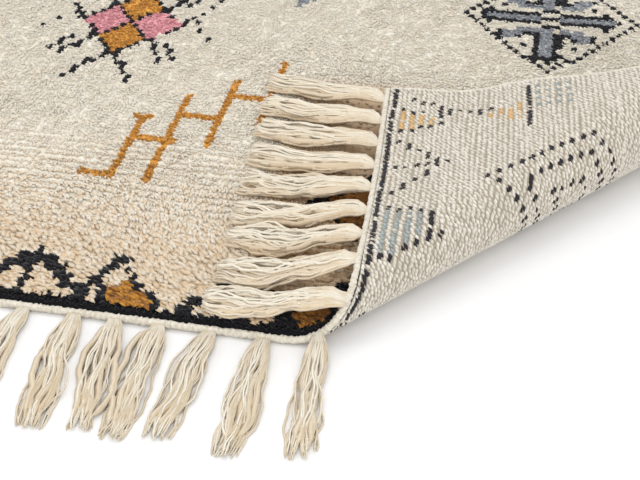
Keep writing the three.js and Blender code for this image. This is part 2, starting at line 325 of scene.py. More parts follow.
# The chevron's corners: columns from the middle of the filled half lozenge, and rows from the end
CHEVRON = [(6.7, 2.0), (5.4, 2.7), (5.0, 4.0), (4.2, 5.3), (2.9, 6.4), (1.5, 4.5)]
CHEVRON_TOP = [(4.6, 5.0), (3.2, 5.8)]
# The outlined ones: middle column, and how many knots wide their legs are
BORDER_OUTLINED = [(151.5, 1), (106.0, 2), (79.5, 2), (54.5, 2), (29.5, 2), (4.5, 2)]
# Their legs' feet and tops in columns and rows, half their bar for each knot of a leg, and their stem's rows
OUTLINED_FOOT = (6.6, 1)
OUTLINED_TOP = (1.0, 5)
OUTLINED_BAR = 1.2
OUTLINED_STEM = (1, 6)


def border(row_of):
    """A row of half lozenges along an end, filled and outlined in turn. row_of counts rows from that end."""
    line(CHARCOAL, (0, row_of(0)), (COLUMNS - 1, row_of(0)))
    for column, yarn, halves, lean, side in BORDER_FILLED:
        for corners in (CHEVRON, CHEVRON_TOP):
            if side:
                line(CHARCOAL, *[(column + side * across, row_of(rank)) for across, rank in corners])
        for rank, half in enumerate(halves, start=1):
            middle = column + lean * (rank - 1)
            bar(yarn, middle, row_of(rank), half)
            for flank in (-1, 1):
                if flank != side or rank < len(halves):
                    knots(CHARCOAL, middle + flank * (half + 1.0), row_of(rank))
        top = len(halves) + 1
        if side:
            knots(CHARCOAL, middle - side * FILLED_TOP, row_of(top))
        else:
            bar(CHARCOAL, middle, row_of(top), FILLED_BAR)
            knots(CHARCOAL, middle + FILLED_BAR_KNOT, row_of(top + 1))
    for column, wide in BORDER_OUTLINED:
        for side in (-1, 1):
            leg = [(column + side * across, row_of(rank)) for across, rank in (OUTLINED_FOOT, OUTLINED_TOP)]
            line(CHARCOAL, *leg, wide=wide)
        line(CHARCOAL, *[(column, row_of(rank)) for rank in OUTLINED_STEM])
        bar(CHARCOAL, column, row_of(OUTLINED_TOP[1]), OUTLINED_BAR * wide)


def turned_corner_motifs():
    """The small figures behind the border at the right end, whose backs show on the turned corner."""
    line(CHARCOAL, (167.6, 5.5), (167.0, 7.5), (165.6, 9.5))
    line(CHARCOAL, (166.5, 8.5), (166.5, 10.5))
    for rank, half in ((10, 0.5), (11, 1.0), (12, 1.5), (13, 2.0)):
        bar(OCHRE, 164.0, rank + 0.5, half)
    line(CHARCOAL, (159.5, 14.5), (171.5, 14.5))
    for rank in (15, 16, 17, 18):
        line(BLUE, (165.5, rank + 0.5), (171.5, rank + 0.5), step=2)
    for half in (10.0, 6.5, 3.0):
        lozenge_line(CHARCOAL, 145.5, 20.5, half, half)


# The figures of the field: the columns and rows of their middles, and of the ladders' feet with their sides
QUARTERED = [(71.6, 51.4), (38.0, 112.0), (128.0, 122.0), (84.0, 146.0)]
CROSSED = [(139.3, 61.4), (24.5, 44.0), (83.0, 108.0), (152.0, 92.0), (24.0, 148.0)]
LADDERS = [(82.8, 19.8, 1), (30.0, 70.0, 1), (117.0, 82.0, -1), (146.0, 148.0, -1), (46.0, 132.0, 1)]
# Small lozenges, one in another: yarn, middle, half width and half height
SMALL_LOZENGES = [
    (BLUE, 97.8, 65.4, 4.6, 6.6),
    (CREAM, 97.8, 65.4, 2.4, 3.4),
    (CHARCOAL, 117.6, 18.6, 7.4, 5.2),
    (OCHRE, 117.6, 18.6, 5.6, 3.9),
]


def draw_chart():
    border(lambda rank: rank + 0.5)
    border(lambda rank: ROWS - 0.5 - rank)
    turned_corner_motifs()
    figures = [(quartered_lozenge, QUARTERED), (crossed_lozenge, CROSSED), (ladder, LADDERS)]
    for draw, places in figures + [(lozenge, SMALL_LOZENGES)]:
        for values in places:
            draw(*values)


draw_chart()


# Materials

def srgb(red, green, blue):
    """A colour as a screen shows it, from 0 to 255, in the linear values that shaders take."""
    channel = np.array([red, green, blue]) / 255.0
    linear = np.where(channel <= 0.04045, channel / 12.92, ((channel + 0.055) / 1.055) ** 2.4)
    return (*linear, 1.0)


class Shader:
    """A node material under construction."""

    def __init__(self, name, roughness, sheen):
        self.material = bpy.data.materials.new(name)
        self.material.use_nodes = True
        self.tree = self.material.node_tree
        self.surface = self.tree.nodes["Principled BSDF"]
        self.fill(self.surface, {
            "Roughness": roughness, "Sheen Weight": sheen, "Sheen Roughness": 0.5, "Specular IOR Level": 0.2,
        })

    def fill(self, node, inputs):
        """Links the sockets among the values of a node's inputs, and sets the plain values."""
        for name, value in inputs.items():
            if isinstance(value, bpy.types.NodeSocket):
                self.tree.links.new(value, node.inputs[name])
            else:
                node.inputs[name].default_value = value

    def attribute(self, name):
        node = self.tree.nodes.new("ShaderNodeAttribute")
        node.attribute_name = name
        return node.outputs["Fac"]

    def noise(self, scale, detail=2.0):
        coordinates = self.tree.nodes.new("ShaderNodeTexCoord")
        node = self.tree.nodes.new("ShaderNodeTexNoise")
        self.fill(node, {"Vector": coordinates.outputs["Object"], "Scale": scale, "Detail": detail})
        return node.outputs["Fac"]

    def ramp(self, factor, *stops):
        """A colour ramp through two stops (position, colour)."""
        node = self.tree.nodes.new("ShaderNodeValToRGB")
        for element, (position, colour) in zip(node.color_ramp.elements, stops):
            element.position = position
            element.color = colour
        self.fill(node, {"Fac": factor})
        return node.outputs["Color"]

    def multiply(self, first, second, factor=1.0):
        node = self.tree.nodes.new("ShaderNodeMix")
        node.data_type = "RGBA"
        node.blend_type = "MULTIPLY"
        self.fill(node, {"Factor": factor, "A": first, "B": second})
        return node.outputs["Result"]

    def bump(self, height, strength, distance):
        node = self.tree.nodes.new("ShaderNodeBump")
        self.fill(node, {"Height": height, "Strength": strength, "Distance": distance})
        self.fill(self.surface, {"Normal": node.outputs["Normal"]})

    def colour(self, socket):
        self.fill(self.surface, {"Base Color": socket})
        return self.material


# Shades that a colour is multiplied by
WHITE = (1.0, 1.0, 1.0, 1.0)
GREY_DARK = (0.84, 0.83, 0.81, 1.0)
WARM_DARK = (0.86, 0.75, 0.6, 1.0)
OCHRE_DARK = (0.48, 0.39, 0.28, 1.0)
PINK_DARK = (0.6, 0.4, 0.45, 1.0)
BLUE_DARK = (0.42, 0.42, 0.46, 1.0)
BACK_DARK = (0.8, 0.78, 0.75, 1.0)
CLOSED_SHADE = (0.845, 0.845, 0.85, 1.0)


def wool(name, root, tip, darkest):
    """Wool painted darker and warmer towards the root of a tuft, as painted shade deep in the pile, each tuft
    with its own tone.

    Tufts that are still closed catch more light than open ones do, so they are shaded to match.
    """
    shader = Shader(name, roughness=0.92, sheen=0.15)
    blend = shader.ramp(shader.attribute("along"), (0.0, root), (0.9, tip))
    tone = shader.ramp(shader.attribute("tone"), (0.0, darkest), (1.0, WHITE))
    closed = shader.ramp(shader.attribute("closed"), (0.0, WHITE), (1.0, CLOSED_SHADE))
    toned = shader.multiply(shader.multiply(blend, tone), closed)
    fibres = shader.ramp(shader.noise(scale=900.0), (0.3, GREY_DARK), (0.6, WHITE))
    shader.bump(shader.noise(scale=1600.0), strength=0.4, distance=0.0006)
    return shader.colour(shader.multiply(toned, fibres, factor=0.5))


def cotton(name, shade, light, fuzz):
    """Undyed cotton, a little uneven from yarn to yarn and along each, the tones of its yarns also carrying
    painted light and shade. fuzz is the depth of its fibres.
    """
    shader = Shader(name, roughness=0.85, sheen=0.3)
    tone = shader.ramp(shader.attribute("tone"), (0.0, shade), (1.0, light))
    slubs = shader.ramp(shader.noise(scale=260.0), (0.3, GREY_DARK), (0.6, WHITE))
    shader.bump(shader.noise(scale=1400.0), strength=0.5, distance=fuzz)
    return shader.colour(shader.multiply(tone, slubs, factor=0.35))


def woven_ground(name, shade, light):
    """The plain weave between the knots, its colour partly its own and partly darkened as painted shade in
    the gaps between the grains of the back.
    """
    shader = Shader(name, roughness=0.9, sheen=0.2)
    weave = shader.noise(scale=700.0, detail=4.0)
    shader.bump(weave, strength=0.6, distance=0.0008)
    return shader.colour(shader.ramp(weave, (0.3, shade), (0.65, light)))


def floor_material():
    shader = Shader("floor_white", roughness=0.6, sheen=0.0)
    shade, light = (0.9, 0.9, 0.9, 1.0), (0.93, 0.93, 0.93, 1.0)
    return shader.colour(shader.ramp(shader.noise(scale=3.0), (0.3, shade), (0.7, light)))


# The first colour of each wool is painted shade: the darker, warmer colour that its tufts take towards their
# roots, deep in the pile.
PILE_WOOLS = [
    wool("wool_cream", srgb(220, 184, 136), srgb(242, 239, 229), WARM_DARK),
    wool("wool_charcoal", srgb(10, 10, 14), srgb(26, 26, 33), GREY_DARK),
    wool("wool_ochre", srgb(98, 44, 6), srgb(242, 176, 76), OCHRE_DARK),
    wool("wool_pink", srgb(206, 120, 124), srgb(255, 192, 198), PINK_DARK),
    wool("wool_blue", srgb(74, 77, 83), srgb(184, 188, 192), BLUE_DARK),
]
# Here too the first colour is painted shade, at the foot of each grain of the back.
BACK_WOOLS = [
    wool("back_cream", srgb(174, 164, 147), srgb(243, 238, 228), BACK_DARK),
    wool("back_charcoal", srgb(30, 29, 34), srgb(50, 49, 56), GREY_DARK),
    wool("back_ochre", srgb(158, 112, 60), srgb(238, 198, 138), GREY_DARK),
    wool("back_pink", srgb(190, 120, 114), srgb(232, 176, 170), GREY_DARK),
    wool("back_blue", srgb(80, 90, 94), srgb(178, 187, 186), GREY_DARK),
]
COTTON = cotton("cotton_yarn", srgb(214, 193, 158), srgb(248, 242, 228), fuzz=0.0004)
# The tassels on the pile take a copy of the same cotton with painted light: warmer shade thrown up by the
# pile, and lighter tops
PILE_SHADE_COTTON = cotton("cotton_yarn_pile_shade", srgb(222, 192, 148), srgb(252, 246, 231), fuzz=0.0004)
CORD_COTTON = cotton("cotton_cord", srgb(204, 192, 170), srgb(244, 238, 224), fuzz=0.002)
# The ground's colours are partly the weave's own and partly painted shade for the gaps between the grains
GROUND = woven_ground("woven_ground", srgb(140, 128, 110), srgb(182, 171, 153))


# Meshes from arrays

CELL_MARGIN = 0.06


def make_piece(name, points, faces, materials, node, shades=None, yarns=None, cells=None):
    """An object that rides on the rug's body. points are in millimetres and faces have three corners each.

    shades are named numbers for each point, yarns a material number for each face, and cells a place in the
    texture map for each corner of each face.
    """
    mesh = bpy.data.meshes.new(name)
    count = len(faces)
    mesh.vertices.add(len(points))
    mesh.vertices.foreach_set("co", np.ascontiguousarray(points * MM, np.float32).ravel())
    mesh.loops.add(count * 3)
    mesh.loops.foreach_set("vertex_index", np.ascontiguousarray(faces, np.int32).ravel())
    mesh.polygons.add(count)
    mesh.polygons.foreach_set("loop_start", np.arange(0, count * 3, 3, dtype=np.int32))
    for material in materials:
        mesh.materials.append(material)
    if yarns is not None:
        mesh.polygons.foreach_set("material_index", np.ascontiguousarray(yarns, np.int32))
    for key, values in (shades or {}).items():
        attribute = mesh.attributes.new(key, "FLOAT", "POINT")
        attribute.data.foreach_set("value", np.ascontiguousarray(values, np.float32))
    if cells is not None:
        layer = mesh.uv_layers.new(name="OFBake")
        layer.data.foreach_set("uv", np.ascontiguousarray(cells, np.float32).ravel())
    mesh.update(calc_edges=True)
    mesh.shade_smooth()
    piece = bpy.data.objects.new(name, mesh)
    bpy.context.scene.collection.objects.link(piece)
    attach(piece, "root")
    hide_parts(node)
    return piece


def repeat_faces(pattern, count, points_each):
    """The faces of one small mesh, repeated for count copies of it."""
    starts = np.arange(count)[:, None, None] * points_each
    return (pattern[None] + starts).reshape(-1, 3)


def cell_corners(pattern_corners, count):
    """Each copy of a small mesh gets a square cell of its own in the texture map."""
    side = int(math.ceil(math.sqrt(count)))
    index = np.arange(count)
    origin = np.stack([index % side, index // side], -1)[:, None, None, :]
    inner = CELL_MARGIN + (1.0 - 2.0 * CELL_MARGIN) * pattern_corners[None]
    return ((origin + inner) / side).reshape(-1, 2)


def ring_faces(rings, sides, first, levels):
    """The faces between a tube's rings, whose points count from first, and their places in its texture cell.

    levels say how far up the cell each ring lies.
    """
    faces = []
    cells = []
    for ring in range(rings - 1):
        low, high = levels[ring], levels[ring + 1]
        for s in range(sides):
            left, right = s / sides, (s + 1) / sides
            a = first + ring * sides + s
            b = first + ring * sides + (s + 1) % sides
            faces += [[a, b, b + sides], [a, b + sides, a + sides]]
            cells += [
                [(left, low), (right, low), (right, high)],
                [(left, low), (right, high), (left, high)],
            ]
    return faces, cells


# The woven ground: one thin closed sheet on the folds of the rug's body

GROUND_LOW = 1.5
GROUND_HIGH = 3.4
FINE_FROM_U = 700.0
FINE_TO_V = 600.0
FINE_STEP = 12.5
WIDE_STEP = 25.0
# The sheet's two faces lie side by side in its texture map
MAP_SIZE = np.array([0.49, 1.0])
MAP_SHIFT = np.array([0.51, 0.0])


def stops(start, end, step):
    return np.linspace(start, end, int(round((end - start) / step)) + 1)


def grid_faces(rows, columns):
    """Two faces for each cell of a grid of points: first one for every cell, then the other."""
    number = np.arange(rows * columns).reshape(rows, columns)
    a, b = number[:-1, :-1].ravel(), number[:-1, 1:].ravel()
    c, d = number[1:, 1:].ravel(), number[1:, :-1].ravel()
    return np.concatenate([np.stack([a, b, c], -1), np.stack([a, c, d], -1)])


def make_ground():
    u = np.concatenate([stops(0.0, FINE_FROM_U, WIDE_STEP), stops(FINE_FROM_U, RUG_WIDTH, FINE_STEP)[1:]])
    v = np.concatenate([stops(0.0, FINE_TO_V, FINE_STEP), stops(FINE_TO_V, RUG_LENGTH, WIDE_STEP)[1:]])
    grid_v, grid_u = np.meshgrid(v, u, indexing="ij")
    upper = place(grid_u, grid_v, GROUND_HIGH).reshape(-1, 3)
    lower = place(grid_u, grid_v, GROUND_LOW).reshape(-1, 3)
    rows, columns = grid_u.shape
    under = rows * columns
    number = np.arange(under).reshape(rows, columns)
    top = grid_faces(rows, columns)
    bottom = top[:, ::-1] + under
    rim = np.concatenate([number[0, :], number[1:, -1], number[-1, -2::-1], number[-2:0:-1, 0]])
    after = np.roll(rim, -1)
    side = np.concatenate([
        np.stack([rim, rim + under, after + under], -1),
        np.stack([rim, after + under, after], -1),
    ])
    faces = np.concatenate([top, bottom, side])
    flat = np.stack([grid_u / RUG_WIDTH, grid_v / RUG_LENGTH], -1).reshape(-1, 2) * MAP_SIZE
    return make_piece(
        "ground", np.concatenate([upper, lower]), faces, [GROUND], "rug_body",
        cells=np.concatenate([flat, flat + MAP_SHIFT])[faces],
    )


# The pile: tufts of yarn that lean over their neighbours

FELT_DEPTH = 2.2
FELT_ROUGHNESS = 0.35
FELT_STRAY_U = 1.3
FELT_STRAY_V = 1.6
FELT_TONES = (0.3, 1.0)
# Painted shade on the felt: it takes mostly the warm root colour, lighter further back and deeper under the
# turned tassels
FELT_LIGHT = 0.25
FELT_PALE_GAIN = 0.65
BAND_ROWS = 20
STRAND_SIDES = 3
STRAND_ROOT_DEPTH = 2.6
STRAND_FLATNESS = 0.65
# Sections of a strand: shares of its reach and rise, its width against the widest, and how light it is,
# painted darker towards the root as shade. Those of the front band are leaves.
LEAF_SECTIONS = [
    {"out": 0.3, "up": 0.7, "width": 0.85, "along": 0.45},
    {"out": 0.72, "up": 1.0, "width": 1.0, "along": 0.8},
]
FINE_SECTIONS = [{"out": 0.55, "up": 0.8, "width": 1.0, "along": 0.76}]
STRAND_TIP = {"out": 1.0, "up": 0.95}
# Strands of an open knot, as many across as along: broad ones at the front end, and finer ones further back.
# Those of a closed knot lie side by side, and the turned corner presses it into one.
BROAD_STRANDS = 2
FINE_STRANDS = 3
CLOSED_STRANDS = 2
BROAD_RADIUS = 2.7
FINE_RADIUS = 1.65
CLOSED_RADIUS = 2.9
PRESSED_RADIUS = 3.4
# How far inside the rug's edges they stand, and how unevenly
STRAND_INSET = 1.5
STRAND_STRAY_U = 0.7
STRAND_STRAY_V = 0.9
STRAND_REACHES = (0.7, 1.25)
STRAND_RADII = (0.85, 1.15)
RISE_STRAY = 0.3
HEADING_STRAY = math.radians(15.0)
# Their heading in degrees: at the front end, how much further it turns behind, and its swirls
HEADING = -34.0
HEADING_TURN = -30.0
HEADING_SWIRL = 12.0
# Their reach: at the front end, how much shorter it is behind, and its waves with their lengths for a radian
REACH = 15.0
REACH_LOSS = 6.5
REACH_WAVE = 1.5
REACH_WAVE_U = 52.0
REACH_WAVE_V = 71.0
END_REACH = 0.15  # the share of their reach that the tufts of the first row have
END_REACH_V = (3.0, 14.0)
END_BEAT = 4.0  # how far the first rows are beaten towards the front end
END_BEAT_V = (0.0, 90.0)
# How light they are, as painted shade that deepens towards the warm root colour: at the front end, where they
# are pale, under the turned tassels, and on the low side of a ridge; cream tufts also range to darker tones
# at the front end
LIGHT = 0.76
PALE_LOSS = 0.03
PALE_GAIN = 0.2
PALE_TONE = 0.7
TASSEL_SHADE_LOSS = 0.75
TASSEL_SHADE_GAIN = 0.2
RIDGE_PAINTED_SHADE = 0.3
RIDGE_GATHER = 0.5  # how much closer together a ridge's strands are tied
YARN_AT = 0.6  # the share of its reach at which a strand takes its yarn from the chart
OCHRE_SPREAD = 0.18  # how far ochre tufts spread over cream ones, in knots
CHARCOAL_COVER = 0.26  # how far the others spread over charcoal ones, in knots
# Where the turned edge lies above the pile: its u at the front end, and how much less u it has for each v
TURNED_EDGE = 828.0
TURNED_LEAN = 0.06
# Where the pile changes, from the start of each change to its end
UPRIGHT_V = (75.0, 220.0)
PALE_V = (25.0, 150.0)
RIDGES_START_V = (55.0, 100.0)
RIDGES_END_V = (210.0, 290.0)
# Where the painted warm shade under the turned tassels starts and ends
TASSEL_SHADE_START = (112.0, 82.0)  # from the turned edge, as is the next
TASSEL_SHADE_END = (-60.0, -20.0)
TASSEL_SHADE_END_V = (380.0, 410.0)
OPEN_START_U = (430.0, 545.0)
OPEN_START_LEAN = 0.41
OPEN_END_U = (1050.0, 1130.0)
OPEN_END_V = (590.0, 750.0)
OPEN_END_ANGLE = 0.05
COVER_MARGIN = 40.0
# How a row of knots wavers: the height of each wave, its length for a radian, and its shift with each row
ROW_WAVES = [(0.9, 90.0, 0.7), (0.5, 23.0, 1.9)]


def uprightness(v):
    """The tufts lie low at the front end, and stand up further back."""
    return smoothstep(v, *UPRIGHT_V)


def paleness(v):
    """The tufts take more of the painted warm shade of their roots at the front end, and less further back.
    """
    return smoothstep(v, *PALE_V)


def ridged(v):
    """Where the rows of tufts show as ridges: between the front border and the tufts that stand up."""
    return smoothstep(v, *RIDGES_START_V) * (1.0 - smoothstep(v, *RIDGES_END_V))


def tassel_shade(u, v):
    """Where painted warm shade lies in the pile, under and between the turned tassels."""
    from_edge = TURNED_EDGE - TURNED_LEAN * v - u
    under_tassels = smoothstep(from_edge, *TASSEL_SHADE_START) * smoothstep(from_edge, *TASSEL_SHADE_END)
    return under_tassels * (1.0 - smoothstep(v, *TASSEL_SHADE_END_V))


def covered(u, v):
    """Whether the turned corner lies over a place: whether its mirror place across the fold is on the rug."""
    along = (u - FOLD_START) * math.cos(FOLD_ANGLE) + v * math.sin(FOLD_ANGLE)
    mirror_u = 2.0 * (FOLD_START + along * math.cos(FOLD_ANGLE)) - u
    mirror_v = 2.0 * along * math.sin(FOLD_ANGLE) - v
    return (mirror_u < RUG_WIDTH - COVER_MARGIN) & (mirror_v > COVER_MARGIN)


def open_share(u, v):
    """Where the tufts have opened into single strands: round the turned corner, and not under it."""
    near_side = smoothstep(u + OPEN_START_LEAN * v, *OPEN_START_U) * (1.0 - smoothstep(u, *OPEN_END_U))
    flat = (angle_past_fold(u, v) < OPEN_END_ANGLE) & ~covered(u, v)
    return near_side * (1.0 - smoothstep(v, *OPEN_END_V)) * flat


def felt_height(u, v):
    """The height where the tufts have felted together."""
    return pile_top(u, v) - FELT_DEPTH


def make_felt():
    """The felted foot of the pile, two faces to each knot, with a rim down to the woven ground."""
    u = np.concatenate([[0.0], np.arange(COLUMNS + 1) * KNOT_WIDTH, [RUG_WIDTH]])
    v = np.concatenate([[0.0], np.arange(ROWS + 1) * ROW_PITCH, [RUG_LENGTH]])
    grid_v, grid_u = (a.copy() for a in np.meshgrid(v, u, indexing="ij"))
    height = felt_height(grid_u, grid_v) + rng.normal(0.0, FELT_ROUGHNESS, grid_u.shape)
    inner_v, inner_u = grid_v[2:-2, 2:-2], grid_u[2:-2, 2:-2]
    inner_u += rng.normal(0.0, FELT_STRAY_U, inner_u.shape)
    inner_v += rng.normal(0.0, FELT_STRAY_V, inner_v.shape)
    height[[0, -1], :] = GROUND_HIGH
    height[:, [0, -1]] = GROUND_HIGH
    rows, columns = grid_u.shape
    faces = grid_faces(rows, columns)
    row = np.arange(rows - 1).clip(1, ROWS) - 1
    column = np.arange(columns - 1).clip(1, COLUMNS) - 1
    yarns = chart[row][:, column].ravel()
    flat = np.stack([grid_u / RUG_WIDTH, grid_v / RUG_LENGTH], -1).reshape(-1, 2)
    # Painted shade: the felt is darker and warmer at the front end and under the turned tassels
    light = FELT_LIGHT + FELT_PALE_GAIN * paleness(grid_v) * (1.0 - tassel_shade(grid_u, grid_v))
    return make_piece(
        "pile_felt", place(grid_u, grid_v, height).reshape(-1, 3), faces, PILE_WOOLS, "rug_body",
        shades={
            "tone": rng.uniform(*FELT_TONES, rows * columns),
            "along": light.ravel(),
            "closed": 1.0 - open_share(grid_u, grid_v).ravel(),
        },
        yarns=np.concatenate([yarns, yarns]),
        cells=flat[faces],
    )


def strand_faces(rings):
    """The faces of one strand, pointed at its root and its tip, and their places in its texture cell."""
    sides = STRAND_SIDES
    levels = np.linspace(0.0, 1.0, rings + 2)
    faces, cells = ring_faces(rings, sides, 1, levels[1:-1])
    tip = 1 + rings * sides
    last = tip - sides
    for s in range(sides):
        after = (s + 1) % sides
        left, middle, right = s / sides, (s + 0.5) / sides, (s + 1) / sides
        faces += [[0, 1 + after, 1 + s], [last + s, last + after, tip]]
        cells += [
            [(middle, 0.0), (right, levels[1]), (left, levels[1])],
            [(left, levels[-2]), (right, levels[-2]), (middle, 1.0)],
        ]
    return np.array(faces), np.array(cells)


def knot_places(row, column):
    """Where knots are tied. Hand-tied rows waver a little."""
    u = (column + 0.5) * KNOT_WIDTH
    v = (row + 0.5) * ROW_PITCH
    for height, length, shift in ROW_WAVES:
        v = v + height * np.sin(u / length + row * shift)
    return u, v


def pile_heading(u, v):
    """The way the tufts lean, in radians from the +u direction: to the right in front and forwards behind."""
    swirl = crossing_waves(u, v, **SWIRLS)
    return np.radians(HEADING + HEADING_TURN * uprightness(v) + HEADING_SWIRL * swirl)


def pile_reach(u, v):
    """How far a tuft's tip lies from its root."""
    full = REACH - REACH_LOSS * uprightness(v) + REACH_WAVE * np.sin(u / REACH_WAVE_U + v / REACH_WAVE_V)
    return full * (END_REACH + (1.0 - END_REACH) * smoothstep(v, *END_REACH_V))


def shown_yarn(u, v):
    """The yarn that the chart shows at places on the pile, its first rows beaten closer to the front end."""
    beaten = v + END_BEAT * (1.0 - smoothstep(v, *END_BEAT_V))
    column = np.floor(u / KNOT_WIDTH).astype(int).clip(0, COLUMNS - 1)
    row = np.floor(beaten / ROW_PITCH).astype(int).clip(0, ROWS - 1)
    return chart[row, column]


def spread_yarn(u, v):
    """The yarn of tufts at places on the pile.

    Full ochre tufts spread a little over cream ones, and all of them over charcoal ones where they stand up.
    """
    yarn = shown_yarn(u, v)
    spread = np.where(yarn == CHARCOAL, CHARCOAL_COVER, OCHRE_SPREAD)
    aside = spread * rng.uniform(-1.0, 1.0, (2, len(u)))
    beside = shown_yarn(u + aside[0] * KNOT_WIDTH, v + aside[1] * ROW_PITCH)
    over_cream = (yarn == CREAM) & (beside == OCHRE)
    over_charcoal = (yarn == CHARCOAL) & (uprightness(v) > 0.5)
    return np.where(over_cream | over_charcoal, beside, yarn)


def strand_roots(band):
    """Where the strands of a band of rows are tied: their u and v.

    With these go each one's place along its knot, from -0.5 to 0.5, its knot's paleness and its usual radius.
    """
    rows = np.arange(band * BAND_ROWS, (band + 1) * BAND_ROWS)
    grid = np.meshgrid(rows, np.arange(COLUMNS), np.arange(FINE_STRANDS**2), indexing="ij")
    row, column, strand = (a.ravel() for a in grid)
    u, v = knot_places(row, column)
    opened = rng.uniform(0.0, 1.0, len(u)) < open_share(u, v)
    fine = rng.uniform(0.0, 1.0, len(u)) < uprightness(v)
    kinds = [opened & fine, opened, covered(u, v)]
    across = np.select(kinds, [FINE_STRANDS, BROAD_STRANDS, 1], CLOSED_STRANDS)
    radius = np.select(kinds, [FINE_RADIUS, BROAD_RADIUS, PRESSED_RADIUS], CLOSED_RADIUS)
    deep = np.where(opened, across, 1)
    kept = strand < across * deep
    strand, across, deep, radius, u, v = (a[kept] for a in (strand, across, deep, radius, u, v))
    count = len(u)
    pale = paleness(v)
    loose = 1.0 - RIDGE_GATHER * ridged(v)
    spot_u = (strand % across + 0.5) / across - 0.5
    spot_v = (strand // across + 0.5) / deep - 0.5
    u = u + spot_u * KNOT_WIDTH + rng.normal(0.0, STRAND_STRAY_U, count)
    v = v + loose * (spot_v * ROW_PITCH + rng.normal(0.0, STRAND_STRAY_V, count))
    u = np.clip(u, STRAND_INSET, RUG_WIDTH - STRAND_INSET)
    v = np.clip(v, STRAND_INSET, RUG_LENGTH - STRAND_INSET)
    return u, v, spot_v, pale, radius


def strand_lightness(u, v, spot_v, pale, sections):
    """How light the points of strands are, from their roots to their tips: painted shade, darker and warmer
    at the roots, and deeper at the front end, under the turned tassels and on the low side of a ridge.
    """
    light = np.repeat([section["along"] for section in sections], STRAND_SIDES)
    light = np.concatenate([[0.0], light, [1.0]])
    pale, tassel_shaded = pale[:, None], tassel_shade(u, v)[:, None]
    light = light * (LIGHT - PALE_LOSS * pale) + PALE_GAIN * pale
    light = light * (1.0 - TASSEL_SHADE_LOSS * tassel_shaded) + TASSEL_SHADE_GAIN * tassel_shaded
    # Painted shade on the low side of each ridge of rows
    return light - (RIDGE_PAINTED_SHADE * ridged(v) * (spot_v < 0.0))[:, None]


def make_pile_band(band):
    """The strands of a band of rows, each a bent leaf with three sides."""
    sections = LEAF_SECTIONS if band == 0 else FINE_SECTIONS
    u, v, spot_v, pale, radius = strand_roots(band)
    count = len(u)
    heading = pile_heading(u, v) + rng.normal(0.0, HEADING_STRAY, count)
    reach = pile_reach(u, v) * rng.uniform(*STRAND_REACHES, count)
    radius = radius * rng.uniform(*STRAND_RADII, count)
    foot = felt_height(u, v) - STRAND_ROOT_DEPTH
    rise = pile_top(u, v) - foot - 0.5 * radius + rng.normal(0.0, RISE_STRAY, count)
    roll = rng.uniform(0.0, 2.0 * np.pi, count)
    ahead = np.stack([np.cos(heading), np.sin(heading)], -1)
    side = np.stack([-np.sin(heading), np.cos(heading), np.zeros(count)], -1)
    root = np.stack([u, v, foot], -1)
    yarn = spread_yarn(*(root[:, :2] + YARN_AT * reach[:, None] * ahead).T)
    stations = [root]
    for section in sections + [STRAND_TIP]:
        out = ahead * (reach * section["out"])[:, None]
        up = (rise * section["up"])[:, None]
        stations.append(root + np.concatenate([out, up], -1))
    around = roll[:, None] + 2.0 * np.pi * np.arange(STRAND_SIDES) / STRAND_SIDES
    flat = STRAND_FLATNESS * np.sin(around)
    layers = [root[:, None]]
    for before, station, after, section in zip(stations, stations[1:], stations[2:], sections):
        over = np.cross(unit(after - before), side)
        ring = np.cos(around)[..., None] * side[:, None] + flat[..., None] * over[:, None]
        layers.append(station[:, None] + ring * (radius * section["width"])[:, None, None])
    layers.append(stations[-1][:, None])
    points = np.concatenate(layers, 1)
    each = points.shape[1]
    points = points.reshape(-1, 3)
    faces, cells = strand_faces(len(sections))
    return make_piece(
        f"pile_{band}", place(*points.T),
        repeat_faces(faces, count, each), PILE_WOOLS, "rug_body",
        shades={
            "tone": np.repeat(rng.uniform(np.where(yarn == CREAM, PALE_TONE * pale, 0.0), 1.0), each),
            "along": strand_lightness(u, v, spot_v, pale, sections).ravel(),
            "closed": np.repeat(1.0 - open_share(u, v), each),
        },
        yarns=np.repeat(yarn, len(faces)),
        cells=cell_corners(cells, count),
    )


# The back of the knots, where the turned corner shows it

# A grain of the weave, as shares of its half width, half length and depth: four points round it on the ground
# and two crests along it
GRAIN = np.array([
    [1.0, 0.0, 0.0], [0.0, 1.0, 0.0], [-1.0, 0.0, 0.0], [0.0, -1.0, 0.0], [0.0, 0.4, 1.0], [0.0, -0.4, 1.0],
])
GRAIN_FACES = np.array([[4, 1, 0], [4, 2, 1], [5, 3, 2], [5, 0, 3], [4, 0, 5], [4, 5, 2]])
GRAIN_CELLS = 0.5 + 0.5 * GRAIN[GRAIN_FACES][:, :, :2]
# Painted shade: each grain is painted lighter at its crests and darker down to its foot on the ground
GRAIN_PAINTED_LIGHT = 0.15 + 0.85 * GRAIN[:, 2]
GRAIN_SINK = 0.2
GRAIN_INSET = 0.6
GRAIN_HALF_WIDTH = 1.9
GRAIN_HALF_LENGTH = 3.5
GRAIN_SIZES = (0.85, 1.2)
GRAIN_DEPTHS = (0.9, 1.3)
GRAIN_SLANT = 50.0
GRAIN_SLANT_STRAY = 9.0
GRAIN_STRAY = 0.42
FULL_GRAIN = 1.12  # the size of a coloured knot's grain beside a cream one's
HIDDEN_LOOPS = 0.07  # the share of knots' loops that the weft hides
# A knot's two loops lie to both sides of its middle. A grain of the weft lies after each, and before those of
# the first row.
LOOP_ASIDE = 0.25 * KNOT_WIDTH
LOOP_AHEAD = 0.5
WEFT_AFTER = 0.5 * ROW_PITCH
WEFT_BEFORE = 0.44 * ROW_PITCH
END_OVERHANG = 0.5
BACK_FROM_ANGLE = math.radians(-2.0)


